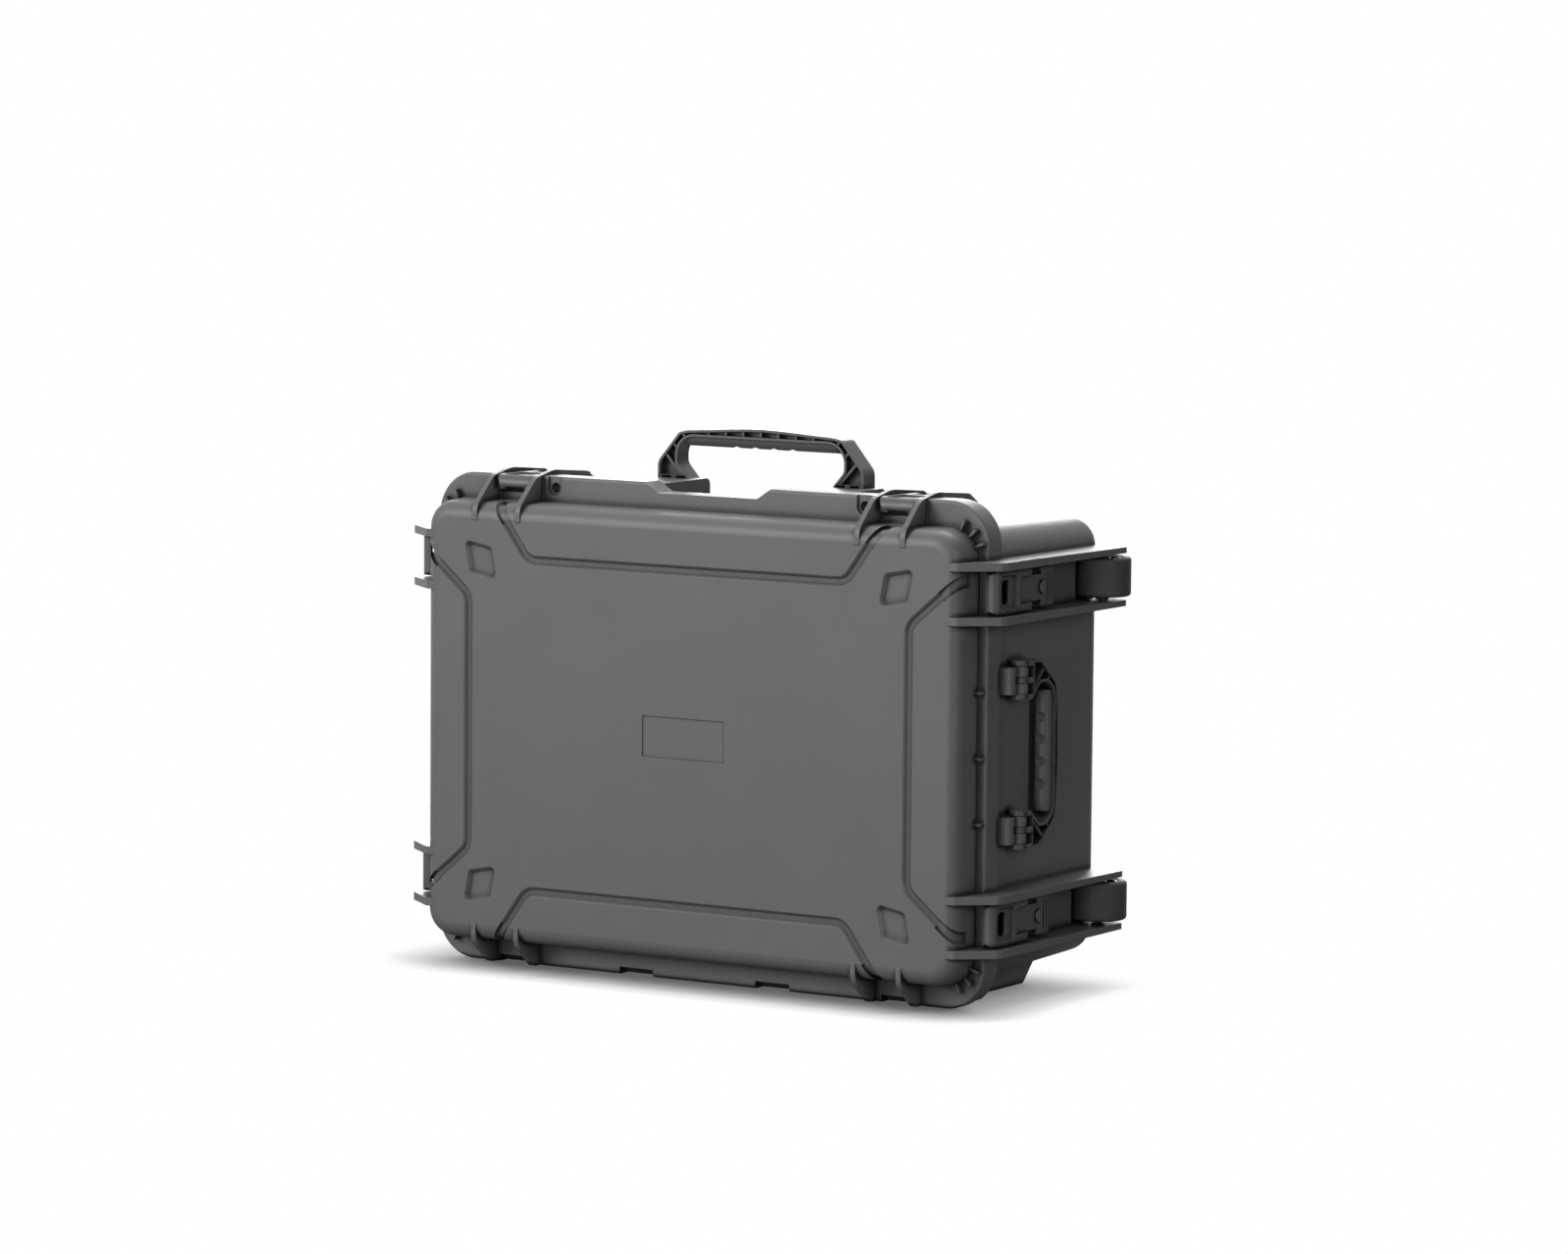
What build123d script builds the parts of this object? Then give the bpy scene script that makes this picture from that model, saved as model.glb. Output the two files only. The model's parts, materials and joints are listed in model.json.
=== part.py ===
"""Wheeled hard case with a hinged lid, six latches, two grip handles and a telescopic handle.

X runs to the right, Y from the lid to the rear, Z up. The case stands on its hinge edge.
The origin is on the floor, at the middle of the width, in the plane where lid and base meet.
"""
from build123d import *
import os
from math import atan2, cos, degrees, hypot, radians, sin, tan

# ------------------------------------------------------------------ sizes of the two shells, mm
flange_width = 562.0
flange_height = 434.0
lid_depth = 49.0
base_depth = 194.0
half_w = flange_width / 2
half_h = flange_height / 2
centre_z = half_h

flange_corner = 38.0
lid_flange = 13.0
base_flange = 11.0
flange_round = 2.5
wall = 5.0

crown_inset_x = 7.5
crown_inset_z = 21.3
crown_side = half_w - crown_inset_x
crown_top = half_h - crown_inset_z
crown_corner = 26.0
crown_draft = 2.7
crown_round = 14.0

base_inset_x = 3.0
base_inset_z = 23.0
base_side = half_w - base_inset_x
base_top = half_h - base_inset_z
base_corner = 26.0
base_side_draft = 2.4
base_top_draft = 4.5
base_round = 18.0

# ------------------------------------------------------------------ lid face
groove_width = 9.0
groove_depth = 2.7
groove_inset_x = 48.8
groove_inset_z = 49.9
groove_corner_inset_x = 111.5
groove_corner_inset_z = 83.7
groove_side = crown_side - groove_inset_x
groove_top = crown_top - groove_inset_z
groove_corner_x = crown_side - groove_corner_inset_x
groove_corner_z = crown_top - groove_corner_inset_z
groove_steep = 1.4
groove_rise = 0.85
groove_bend = 16.0
groove_swell = 0.6
groove_run_out = 25.5
groove_overlap = 1.5
groove_drop = 8.0
pocket_inset_x = 61.5
pocket_inset_z = 52.2
pocket_x = crown_side - pocket_inset_x
pocket_z = crown_top - pocket_inset_z
pocket_size = 29.5
pocket_depth = 4.0
pocket_skew = 11.0
pocket_taper = 42.0
pocket_round = 5.0
label_width = 84.0
label_height = 36.0
label_depth = 0.7
rib_thick = 2.4
rib_reach = 7.0
rib_rise = 5.5
side_rib_pitch = 56.0

# ------------------------------------------------------------------ rim, seal and lock holes
notch_half = 51.0
notch_depth = 9.0
notch_slope = 13.0
seal_width = 3.4
seal_depth = 3.5
seal_gap = 0.1
seal_inset = 4.7
padlock_inset = 123.0
padlock_x = half_w - padlock_inset
padlock_drop = 10.0
padlock_radius = 4.5
padlock_seat = 7.0
padlock_seat_depth = 2.0

# ------------------------------------------------------------------ latches
top_latch_inset = 85.5
side_latch_inset = 75.8
top_latch_x = half_w - top_latch_inset
side_latch_z = half_h - side_latch_inset
claw_half = 18.0
fin_play = 2.0
fin_thick = 5.0
fin_spacing = 2 * (claw_half + fin_play) + fin_thick
fin_rise = 4.5
fin_proud = 0.6
fin_length = 72.0
fin_root = 19.7
base_fin_root = 9.5
plate_play = 1.5
plate_thick = 7.0
plate_spacing = 2 * (claw_half + plate_play) + plate_thick
plate_end_thick = 5.0
plate_proud = 22.0
plate_end_proud = 27.0
plate_end_inset = 7.0
plate_root = 23.5
plate_side = half_w + plate_proud
plate_end_side = half_w + plate_end_proud
plate_end = base_depth - plate_end_inset
left_plate_end = 74.0
catch_rise = 4.8
pivot_y = 20.0
pivot_rise = 10.0
pivot_radius = 2.5
link_y = 37.0
link_rise = 16.0
link_radius = 2.0
link_socket = 3.0
pin_gap = 0.06
claw_front = 22.0
claw_lip = 8.5
claw_rise = 21.5
claw_thick = 4.0
claw_end = 18.5
claw_swing_gap = 0.7
claw_slot_y = -4.5
claw_slot_half = 10.5
claw_slot_width = 13.5
claw_panel_front = -17.0
claw_panel_rear = 13.5
claw_panel_half = 14.5
claw_panel_depth = 2.2
claw_panel_taper = 35.0
cheek_thick = 6.5
cheek_gap = 0.5
arm_half = claw_half - cheek_thick - cheek_gap
arm_rise = 19.0
arm_under = 13.0
barrel_radius = 5.0
arm_nose = 20.0
tab_start = 57.0
tab_end = 80.5
tab_inset = 1.5
tab_half = claw_half - tab_inset
tab_corner = 5.0
tab_thick = 4.5
tab_crest = 0.3
tab_groove_pitch = 4.6
button_y = 58.0
button_radius = 5.5
button_height = 4.5
button_proud = 1.8
button_dish = 0.5
button_travel = 2.0
slide_gap = 0.4

# ------------------------------------------------------------------ hinge
hinge_radius = 5.8
hinge_floor_gap = 0.2
hinge_rise = hinge_radius + hinge_floor_gap
hinge_pin_radius = 2.0
hinge_gap = 0.6
hinge_side_gap = 0.5
hinge_inner_x = 70.0
hinge_outer_inset = 83.5
hinge_outer_x = half_w - hinge_outer_inset
base_knuckle = 34.0
lid_knuckle = 19.0
foot_width = 64.0
foot_inset = 52.0
foot_outer_x = half_w - foot_inset
foot_rear_inset = 48.0
foot_length = base_depth - foot_rear_inset - base_flange
foot_slope = 24.0
foot_wall = 5.0

# ------------------------------------------------------------------ grip handles
handle_reach = 54.0
handle_depth = 19.0
handle_rim = 2.2
handle_web = 3.0
handle_top_width = 212.0
handle_side_width = 161.0
handle_shoulder = 22.0
foot_span = 33.0
leg_width = 20.0
grip_height = 10.0
bulge_height = 8.5
bulge_inset = 1.5
inner_round = 17.0
scallop_pitch = 19.2
scallop_radius = 7.0
scallop_depth = 1.8
grip_rib_pitch = 18.0
grip_rib_thick = 2.2
grip_rib_recess = 0.8
handle_pin_radius = 3.0
knuckle_radius = 7.5
knuckle_width = 8.6
knuckle_gap = 0.5
middle_prong = 5.0
top_pivot_y = 82.0
top_pivot_drop = 10.0
bracket_drop = 3.0
top_pivot_z = flange_height - top_pivot_drop
bracket_rise = flange_height - bracket_drop
bracket_inner_x = 62.0
bracket_outer_x = 118.0
side_pivot_rise = 10.3
side_pivot_x = base_side + side_pivot_rise
side_pivot_y = 29.0

# ------------------------------------------------------------------ wheels
wheel_radius = 25.0
wheel_proud = 5.0
wheel_rear_proud = 3.0
wheel_x = plate_end_side + wheel_proud - wheel_radius
wheel_y = base_depth + wheel_rear_proud - wheel_radius
well_ledge = 0.75
wheel_side_gap = 2.75
well_width = plate_spacing - plate_end_thick - 2 * well_ledge
wheel_width = well_width - 2 * wheel_side_gap
hub_radius = 18.0
axle_radius = 3.0
well_gap = 3.5
well_wall = 4.5

# ------------------------------------------------------------------ telescopic handle
rail_z = 75.0
channel_inset = 33.0
channel_length = 370.0
channel_left = channel_inset - half_w
channel_right = channel_left + channel_length
tunnel_wall = 4.0
bay_inset = 51.0
bay_right = bay_inset - half_w
bay_half = 95.0
bay_depth = 28.0
tube_wall = 1.2
outer_tube_width = 22.0
outer_tube_height = 13.0
tube_gap = 0.3
outer_tube_length = 356.0
tube_step = 12.0
cover_thick = 2.5
tube_side_gap = 2.0
spacer_thick = 3.2
cover_overlap = 4.0
channel_width = outer_tube_width + 2 * tube_side_gap
channel_depth = spacer_thick + outer_tube_height + tube_gap + cover_thick
cover_width = channel_width + 2 * cover_overlap
screw_radius = 1.75
screw_head = 3.5
grip_inset = 10.0
grip_width = 22.0
grip_half = 88.0
grip_thick = 18.0
grip_sunk = 4.0
grip_left = grip_inset - half_w
grip_right = grip_left + grip_width
grip_rear = base_depth - grip_sunk
grip_front = grip_rear - grip_thick
release_half = 16.0
release_height = 8.0
release_depth = 7.0
release_travel = 4.0

# ------------------------------------------------------------------ lining
foam_gap = 0.5
foam_front = 3.0
bay_width = 400.0
bay_height = 290.0
pad_thick = 36.3
pad_gap = 0.3
pad_clearance = 0.4
pad_well_gap = 7.0
pad_inset_z = 22.0
pad_rear = base_depth - channel_depth - tunnel_wall - pad_clearance
frame_rear = pad_rear - pad_thick - pad_gap
pad_right = wheel_x - wheel_radius - well_gap - well_wall - pad_well_gap
pad_half = base_top - pad_inset_z
pad_left = bay_right + tunnel_wall + foam_gap
side_pair_gap = plate_spacing - plate_thick
top_pair_gap = fin_spacing - fin_thick


def block(x0, x1, y0, y1, z0, z1):
    """Box between two corners."""
    size = Box(abs(x1 - x0), abs(y1 - y0), abs(z1 - z0))
    return Pos((x0 + x1) / 2, (y0 + y1) / 2, (z0 + z1) / 2) * size


def rod_x(radius, x0, x1, y, z):
    return Pos((x0 + x1) / 2, y, z) * Rot(0, 90, 0) * Cylinder(radius, abs(x1 - x0))


def rod_y(radius, y0, y1, x, z):
    return Pos(x, (y0 + y1) / 2, z) * Rot(90, 0, 0) * Cylinder(radius, abs(y1 - y0))


def rod_z(radius, z0, z1, x, y):
    return Pos(x, y, (z0 + z1) / 2) * Cylinder(radius, abs(z1 - z0))


def rounded(points, radii):
    """Flat face through the points, with the given radius at each corner that has one."""
    face = make_face(Polyline(*points, close=True))
    for point, radius in zip(points, radii):
        if radius:
            corner = face.vertices().sort_by_distance((point[0], point[1], 0))[0]
            face = fillet(corner, radius)
    return face


def tray(side, top, side_draft, top_draft, corner, depth, edge):
    """Block with drafted sides and a rounded far end, from z=0 up to its depth."""
    near = RectangleRounded(2 * side, 2 * top, corner)
    far = RectangleRounded(2 * (side - side_draft), 2 * (top - top_draft), corner - 2)
    body = loft([near, Pos(0, 0, depth) * far])
    return fillet(body.faces().sort_by(Axis.Z)[-1].edges(), edge)


def to_lid(shape):
    """Stands a shape modelled on the XY plane on the parting plane, growing towards -Y."""
    return Pos(0, 0, centre_z) * Rot(90, 0, 0) * shape


def to_base(shape):
    """Stands a shape modelled on the XY plane on the parting plane, growing towards +Y."""
    return Pos(0, 0, centre_z) * Rot(-90, 0, 0) * shape


def both_sides(shape):
    return [shape, mirror(shape, Plane.YZ)]


# ------------------------------------------------------------------ shared features
def flange(thickness):
    plate = extrude(RectangleRounded(flange_width, flange_height, flange_corner), amount=thickness)
    return fillet(plate.faces().sort_by(Axis.Z)[-1].edges(), flange_round)


def notch():
    """Dip in the top rim, in front of the handle."""
    low = half_h - notch_depth
    reach = notch_half + notch_slope
    points = [(-reach - 20, half_h + 20), (-reach, half_h), (-notch_half, low),
              (notch_half, low), (reach, half_h), (reach + 20, half_h + 20)]
    shape = extrude(rounded(points, [0, 7, 6, 6, 7, 0]), amount=60, both=True)
    return Pos(0, 0, centre_z) * Rot(90, 0, 0) * shape


def latch_pockets(thickness):
    """Gaps in the top rim between each pair of fins, where a latch lies."""
    low = centre_z + crown_top + catch_rise
    half = top_pair_gap / 2
    return [block(x - half, x + half, 0, thickness, low, low + 40) for x in (-top_latch_x, top_latch_x)]


def fin(points, radii, x, thickness):
    """Upright plate in the YZ plane, centred on x."""
    face = Plane.YZ * rounded(points, radii)
    return Pos(x, 0, 0) * extrude(face, amount=thickness / 2, both=True)


def side_plate(points, radii, z, reach):
    """Level plate beside a latch; it thins evenly towards the rear."""
    plan = extrude(rounded(points, radii), amount=plate_thick, both=True)
    thick, thin = plate_thick / 2, plate_end_thick / 2
    section = [(-lid_depth, -thick), (pivot_y, -thick), (plate_end, -thin),
               (plate_end, thin), (pivot_y, thick), (-lid_depth, thick)]
    profile = extrude(Plane.YZ * make_face(Polyline(*section, close=True)), amount=reach, both=True)
    return Pos(0, 0, z) * (plan & profile)


def plate_levels():
    """Heights of the four plates on each side."""
    for z in (-side_latch_z, side_latch_z):
        for offset in (-plate_spacing / 2, plate_spacing / 2):
            yield centre_z + z + offset


def hinge_stations():
    for x in (hinge_inner_x, hinge_outer_x):
        yield -x
        yield x


def base_knuckle_span(x, spare):
    half = base_knuckle / 2 + spare
    return x - half, x + half


def lid_knuckle_spans(x, spare):
    near = base_knuckle / 2 + hinge_side_gap
    far = near + lid_knuckle
    return [(x - far - spare, x - near + spare), (x + near - spare, x + far + spare)]


# ------------------------------------------------------------------ lid
def groove(points):
    """Shallow channel with sloping walls along straight runs in the face."""
    half = groove_width / 2
    floor = half - groove_depth
    path = FilletPolyline(*points, radius=groove_bend)
    section = [(-half - groove_swell, groove_swell), (-floor, -groove_depth), (floor, -groove_depth),
               (half + groove_swell, groove_swell)]
    across = Vector(0, 0, 1).cross(path % 0)
    start = Plane(origin=path @ 0, x_dir=across, z_dir=path % 0)
    return sweep(start * make_face(Polyline(*section, close=True)), path=path)


def groove_end(near, far):
    """Band that carries a channel on over the rounded edge and down the wall."""
    run = (Vector(*far) - Vector(*near)).normalized()
    middle = Vector(*far) + run * (groove_run_out / 2 - groove_overlap)
    deep = crown_round + groove_drop
    band = Box(groove_run_out, groove_width, deep + 1)
    turn = degrees(atan2(run.Y, run.X))
    return Pos(middle.X, middle.Y, lid_depth + 1 - (deep + 1) / 2) * Rot(0, 0, turn) * band


def lid_grooves():
    """Four channels that frame the lid's face, one along each side, run out over its edge."""
    edge_z = crown_top - crown_draft - crown_round
    edge_x = crown_side - crown_draft - crown_round
    reach_x = groove_corner_x + (edge_z - groove_top) / groove_steep
    reach_z = groove_corner_z + (edge_x - groove_side) * groove_rise
    top = [(-reach_x, edge_z), (-groove_corner_x, groove_top),
           (groove_corner_x, groove_top), (reach_x, edge_z)]
    side = [(edge_x, reach_z), (groove_side, groove_corner_z),
            (groove_side, -groove_corner_z), (edge_x, -reach_z)]
    low = [(x, -z) for x, z in top]
    left = [(-x, z) for x, z in side]
    inset = groove_depth - 0.05
    core = tray(crown_side - inset, crown_top - inset, crown_draft, crown_draft, crown_corner - inset,
                lid_depth - inset, crown_round - inset)
    cutters = []
    for points in (top, low, side, left):
        cutters.append(Pos(0, 0, lid_depth) * groove(points))
        cutters.append(groove_end(points[1], points[0]) - core)
        cutters.append(groove_end(points[-2], points[-1]) - core)
    return cutters


def build_lid():
    crown = tray(crown_side, crown_top, crown_draft, crown_draft, crown_corner, lid_depth, crown_round)
    shell = to_lid(crown + flange(lid_flange))

    # fins beside the top latches and their twins beside the outer hinges
    root = crown_top - fin_root
    front = -lid_depth - fin_proud
    for x in (-top_latch_x, top_latch_x):
        for offset in (-fin_spacing / 2, fin_spacing / 2):
            top = [(front + 19.6, root), (front, root + 2), (front, root + 15), (-23, half_h - 1),
                   (0, half_h + fin_rise - 1), (0, root)]
            shell += Pos(0, 0, centre_z) * fin(top, [0, 1, 14, 18, 0, 0], x + offset, fin_thick)
            low = [(front + 19.6, -root), (front, -root - 3), (front, -root - 19), (-24, -half_h + 1),
                   (-lid_flange + 1, -half_h + 0.5), (-lid_flange + 1, -root)]
            shell += Pos(0, 0, centre_z) * fin(low, [0, 1, 14, 6, 0, 0], x + offset, fin_thick)

    # plates beside the side latches
    inner = crown_side - plate_root
    outline = [(inner, -lid_depth + 0.5), (inner + 20, -lid_depth + 1), (plate_side - 3, -24),
               (plate_side, -18), (plate_side, 0), (inner, 0)]
    for z in plate_levels():
        shell += both_sides(side_plate(outline, [0, 8, 6, 4, 0, 0], z, 2 * plate_side))

    # short ribs that stiffen the rim
    front = -lid_flange - rib_reach
    for step in (-1, 0, 1):
        z = centre_z + step * side_rib_pitch
        shell += both_sides(block(crown_side - 6, crown_side + rib_rise, front, -lid_flange + 1,
                                  z - rib_thick / 2, z + rib_thick / 2))
    for sx in (-1, 1):
        for sz in (-1, 1):
            for angle in (22, 45, 68):
                spoke = block(crown_corner - 4, crown_corner + rib_rise + 2, front, -lid_flange + 1,
                              -rib_thick / 2, rib_thick / 2)
                place = Pos(sx * (crown_side - crown_corner), 0, centre_z + sz * (crown_top - crown_corner))
                turn = degrees(atan2(sz * sin(radians(angle)), sx * cos(radians(angle))))
                shell += place * Rot(0, -turn, 0) * spoke

    # hinge knuckles
    for x in hinge_stations():
        for x0, x1 in lid_knuckle_spans(x, 0):
            shell += rod_x(hinge_radius, x0, x1, 0, hinge_rise)

    cavity = tray(crown_side - wall, crown_top - wall, crown_draft, crown_draft,
                  crown_corner - wall, lid_depth - wall, crown_round - wall)
    shell -= to_lid(cavity)
    shell -= notch()
    shell -= latch_pockets(-lid_flange - 0.1)

    # seal groove
    shell -= to_lid(seal_ring(seal_gap, seal_depth))

    # hollows in the face
    face = Pos(0, 0, lid_depth)
    for channel in lid_grooves():
        shell -= to_lid(channel)
    half = pocket_size / 2
    lean = half * tan(radians(pocket_skew))
    rhombus = [(half + lean, half + lean), (lean - half, half - lean), (-half - lean, -half - lean),
               (half - lean, lean - half)]
    hollow = extrude(rounded(rhombus, [pocket_round] * 4), amount=-pocket_depth, taper=pocket_taper)
    for sx in (-1, 1):
        for sz in (-1, 1):
            place = Pos(sx * pocket_x, sz * pocket_z, 0) * Rot(0, 0, 0 if sx == sz else 90)
            shell -= to_lid(face * place * hollow)
    label = extrude(RectangleRounded(label_width, label_height, 1.2), amount=-label_depth)
    shell -= to_lid(face * label)

    # padlock holes, each in a seat that is open at the top
    for sign in (-1, 1):
        x, z = sign * padlock_x, flange_height - padlock_drop
        shell -= rod_y(padlock_radius, -lid_flange - 1, 1, x, z)
        seat_floor = padlock_seat_depth - lid_flange
        shell -= rod_y(padlock_seat, -lid_flange - 1, seat_floor, x, z)
        shell -= block(x - padlock_seat, x + padlock_seat, -lid_flange - 1, seat_floor, z, flange_height + 1)

    # room for the base's knuckles, and the hinge pins
    for x in hinge_stations():
        x0, x1 = base_knuckle_span(x, hinge_side_gap)
        shell -= rod_x(hinge_radius + hinge_gap, x0, x1, 0, hinge_rise)
        shell -= block(x0, x1, -lid_flange - 1, 1, -1, hinge_rise + 0.5)
        reach = base_knuckle / 2 + hinge_side_gap + lid_knuckle
        shell -= rod_x(hinge_pin_radius, x - reach - 1, x + reach + 1, 0, hinge_rise)

    # each closed claw clears the plate above it as the lid swings
    for z in (centre_z - side_latch_z, centre_z + side_latch_z):
        under = z + side_pair_gap / 2
        path = hypot(claw_front, z + claw_half - hinge_rise) + claw_swing_gap
        near, far = crown_side + claw_lip - claw_swing_gap, crown_side + claw_rise + claw_swing_gap
        swing = rod_x(path, near, far, 0, hinge_rise)
        swing &= block(near, far, -lid_depth, 1, under - 1, under + plate_thick - 1.5)
        shell -= both_sides(swing)
    return shell


def seal_ring(gap, depth):
    """Ring that follows the rim, with room to spare on each side."""
    side = crown_side - wall + seal_inset
    top = crown_top - wall + seal_inset
    corner = crown_corner - wall + seal_inset
    outer = RectangleRounded(2 * (side + seal_width + gap), 2 * (top + seal_width + gap),
                             corner + seal_width + gap)
    inner = RectangleRounded(2 * (side - gap), 2 * (top - gap), corner - gap)
    return extrude(outer - inner, amount=depth)


def build_seal():
    return to_lid(seal_ring(0, seal_depth))


# ------------------------------------------------------------------ base
def knuckle_offsets():
    """Centres of a handle foot's two knuckles, from the middle of the foot."""
    shift = middle_prong / 2 + knuckle_gap + knuckle_width / 2
    return (-shift, shift)


def top_feet():
    centre = handle_top_width / 2 - foot_span / 2
    return (-centre, centre)


def side_feet():
    centre = handle_side_width / 2 - foot_span / 2
    return (centre_z - centre, centre_z + centre)


def top_brackets():
    """Block on the top of the base with a slot for each foot of the handle."""
    solids = []
    root = centre_z + base_top - base_top_draft - 4
    rear = top_pivot_y + knuckle_radius
    points = [(base_flange - 3, root), (base_flange - 3, bracket_rise), (rear, bracket_rise), (rear, root)]
    for x in top_feet():
        sign = 1 if x > 0 else -1
        centre = sign * (bracket_inner_x + bracket_outer_x) / 2
        body = fin(points, [0, 0, 6, 0], centre, bracket_outer_x - bracket_inner_x)
        half = foot_span / 2 + knuckle_gap
        front = top_pivot_y - handle_depth / 2 - 1.2
        body -= block(x - half, x + half, front, rear + 1, centre_z + base_top - 2, bracket_rise + 1)
        for shift in knuckle_offsets():
            x0, x1 = x + shift - knuckle_width / 2, x + shift + knuckle_width / 2
            body += rod_x(knuckle_radius, x0, x1, top_pivot_y, top_pivot_z)
            body += block(x0, x1, top_pivot_y - knuckle_radius, top_pivot_y + knuckle_radius,
                          root, top_pivot_z)
        solids.append(body)
    return solids


def side_brackets():
    """Two knuckles on a block for each foot of the side handle."""
    solids = []
    half = middle_prong / 2 + knuckle_gap + knuckle_width
    for z in side_feet():
        front = side_pivot_y - handle_depth / 2 - 0.6
        body = block(base_side - wall / 2, side_pivot_x + 3.5, base_flange - 3, front, z - half, z + half)
        body = fillet(body.edges().filter_by(Axis.Z).sort_by(Axis.X)[-2:], 4)
        for shift in knuckle_offsets():
            z0, z1 = z + shift - knuckle_width / 2, z + shift + knuckle_width / 2
            body += rod_z(knuckle_radius, z0, z1, side_pivot_x, side_pivot_y)
            body += block(base_side - wall / 2, side_pivot_x, side_pivot_y - knuckle_radius,
                          side_pivot_y + knuckle_radius, z0, z1)
            body += block(base_side - wall / 2, side_pivot_x + 2, front - 1, side_pivot_y, z0, z1)
        solids.append(body)
    return solids


def build_base():
    tub = tray(base_side, base_top, base_side_draft, base_top_draft, base_corner, base_depth, base_round)
    shell = to_base(tub + flange(base_flange))

    # fins beside the top latches
    root = base_top - base_top_draft - base_fin_root
    for x in (-top_latch_x, top_latch_x):
        for offset in (-fin_spacing / 2, fin_spacing / 2):
            points = [(0, root), (0, half_h + fin_rise - 1), (6, half_h + fin_rise),
                      (fin_length - 14, half_h), (fin_length, half_h - 8), (fin_length, root)]
            shell += Pos(0, 0, centre_z) * fin(points, [0, 0, 30, 10, 3, 0], x + offset, fin_thick)

    # plates beside the side latches; those on the right run on to the wheels
    inner = crown_side - plate_root
    right = [(inner, 0), (plate_side, 0), (plate_end_side, plate_end - 8), (plate_end_side - 5, plate_end),
             (inner, plate_end + 4)]
    left = [(inner, 0), (plate_side, 0), (plate_side, left_plate_end - 20), (base_side - 4, left_plate_end),
            (inner, left_plate_end)]
    for z in plate_levels():
        shell += side_plate(right, [0, 0, 5, 5, 0], z, 2 * plate_side)
        shell += mirror(side_plate(left, [0, 0, 12, 0, 0], z, 2 * plate_side), Plane.YZ)

    # feet on the hinge edge
    for sign in (-1, 1):
        x0, x1 = sign * (foot_outer_x - foot_width), sign * foot_outer_x
        profile = [(base_flange - 1, 0), (base_flange + foot_length, 0),
                   (base_flange + foot_length + foot_slope, foot_slope), (base_flange + foot_length, 40),
                   (base_flange - 1, 40)]
        skid = fin(profile, [0, 6, 0, 0, 0], (x0 + x1) / 2, foot_width)
        near, far = sorted((x0, x1))
        skid -= block(near + foot_wall, far - foot_wall, base_flange + foot_wall,
                      base_flange + foot_length - foot_wall, -1, 16)
        shell += skid
    shell += top_brackets()
    shell += side_brackets()

    # the hollow, less the walls round the wheels and the telescopic handle
    beyond = half_w + 30
    cavity = to_base(tray(base_side - wall, base_top - wall, base_side_draft, base_top_draft,
                          base_corner - wall, base_depth - wall, base_round - wall))
    well = wheel_radius + well_gap
    for z in (centre_z - side_latch_z, centre_z + side_latch_z):
        half = side_pair_gap / 2 + plate_thick
        cavity -= rod_z(well + well_wall, z - half, z + half, wheel_x, wheel_y)
    floor = base_depth - channel_depth - tunnel_wall
    for z in (centre_z - rail_z, centre_z + rail_z):
        half = channel_width / 2 + tunnel_wall
        cavity -= block(-beyond, channel_right + tunnel_wall, floor, base_depth, z - half, z + half)
    cavity -= block(-beyond, bay_right + tunnel_wall, base_depth - bay_depth - tunnel_wall, base_depth,
                    centre_z - bay_half - tunnel_wall, centre_z + bay_half + tunnel_wall)
    shell -= cavity

    # wheel wells
    for z in (centre_z - side_latch_z, centre_z + side_latch_z):
        shell -= rod_z(well, z - well_width / 2, z + well_width / 2, wheel_x, wheel_y)
        shell -= rod_z(axle_radius, z - 40, z + 40, wheel_x, wheel_y)

    # rear channels, their cover's seat and the bay of the pull grip
    for z in (centre_z - rail_z, centre_z + rail_z):
        half = channel_width / 2
        shell -= block(channel_left - 10, channel_right, base_depth - channel_depth, base_depth + 1,
                       z - half, z + half)
        seat = cover_width / 2 + 0.3
        shell -= block(bay_right - 1, channel_right + 8.3, base_depth - cover_thick, base_depth + 1,
                       z - seat, z + seat)
        for x in cover_screw_places():
            shell -= rod_y(screw_radius, base_depth - 9, base_depth, x, z + screw_side(z))
    shell -= block(-beyond, bay_right, base_depth - bay_depth, base_depth + 1,
                   centre_z - bay_half, centre_z + bay_half)

    shell -= notch()
    shell -= latch_pockets(base_flange + 0.1)
    for sign in (-1, 1):
        shell -= rod_y(padlock_radius, -1, base_flange + 1, sign * padlock_x, flange_height - padlock_drop)

    # hinge: the rim stops above the pins, and each pair of lid knuckles has room to turn
    keep = hinge_rise + 1.5
    shell -= block(-half_w, half_w, -1, base_flange, -1, keep)
    for x in hinge_stations():
        for x0, x1 in lid_knuckle_spans(x, hinge_side_gap):
            shell -= rod_x(hinge_radius + hinge_gap, x0, x1, 0, hinge_rise)
        x0, x1 = base_knuckle_span(x, 0)
        shell += rod_x(hinge_radius, x0, x1, 0, hinge_rise)
        shell += block(x0, x1, 0, base_flange, hinge_rise, keep + 3)
        shell -= rod_x(hinge_pin_radius + pin_gap, x0 - 1, x1 + 1, 0, hinge_rise)

    # holes for the latch pins
    for z in (centre_z - side_latch_z, centre_z + side_latch_z):
        reach = side_pair_gap / 2 + link_socket
        for sign in (-1, 1):
            shell -= rod_z(pivot_radius, z - reach, z + reach, sign * (crown_side + pivot_rise), pivot_y)
    for x in (-top_latch_x, top_latch_x):
        reach = top_pair_gap / 2 + link_socket
        shell -= rod_x(pivot_radius, x - reach, x + reach, pivot_y, centre_z + crown_top + pivot_rise)

    # holes for the handle pins
    for x in top_feet():
        reach = foot_span / 2 + 8
        shell -= rod_x(handle_pin_radius, x - reach, x + reach, top_pivot_y, top_pivot_z)
    for z in side_feet():
        reach = foot_span / 2 + 1
        shell -= rod_z(handle_pin_radius, z - reach, z + reach, side_pivot_x, side_pivot_y)
    return shell


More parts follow.
